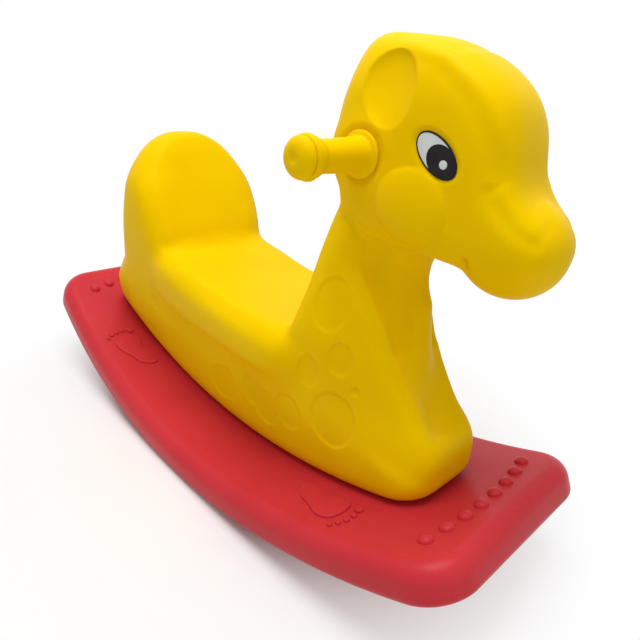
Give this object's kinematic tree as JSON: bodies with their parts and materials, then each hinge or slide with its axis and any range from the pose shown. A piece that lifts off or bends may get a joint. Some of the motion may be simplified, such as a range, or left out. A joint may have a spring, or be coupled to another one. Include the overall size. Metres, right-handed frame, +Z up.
{
  "type": "rocking animal",
  "caption": "Child's moulded rocking giraffe: a yellow saddle body with a backrest and a cross handlebar, bolted to a curved red rocker with footprints.",
  "frame": {"origin": "on the floor under the middle of the rocker, at the flat strip of its sole that touches the floor", "axes": "+X toward the nose, +Y toward the rider's left, +Z up"},
  "size_m": [0.7924, 0.3158, 0.535],
  "materials": {
    "red_plastic": "satin moulded polyethylene",
    "yellow_plastic": "satin moulded polyethylene",
    "eye_label": "printed gloss label",
    "steel_tube": "bright drawn tube",
    "zinc_steel": "zinc plated",
    "insert_brass": "turned brass"
  },
  "bodies": {
    "rocking_body": {"rocker_base": "red_plastic", "giraffe_body": "yellow_plastic", "eye_left": "eye_label", "eye_right": "eye_label", "bolt_1": "zinc_steel", "bolt_2": "zinc_steel", "bolt_3": "zinc_steel", "bolt_4": "zinc_steel", "washer_1": "zinc_steel", "washer_2": "zinc_steel", "washer_3": "zinc_steel", "washer_4": "zinc_steel", "insert_1": "insert_brass", "insert_2": "insert_brass", "insert_3": "insert_brass", "insert_4": "insert_brass"},
    "handlebar": {"handle_tube": "steel_tube", "grip_left": "yellow_plastic", "grip_right": "yellow_plastic", "end_cap_left": "yellow_plastic", "end_cap_right": "yellow_plastic"}
  },
  "joints": [
    {"name": "handlebar_turn", "type": "hinge", "parent": "rocking_body", "child": "handlebar", "pos_m": [0.166, 0, 0.43], "axis": [0, 1, 0], "continuous": true}
  ]
}
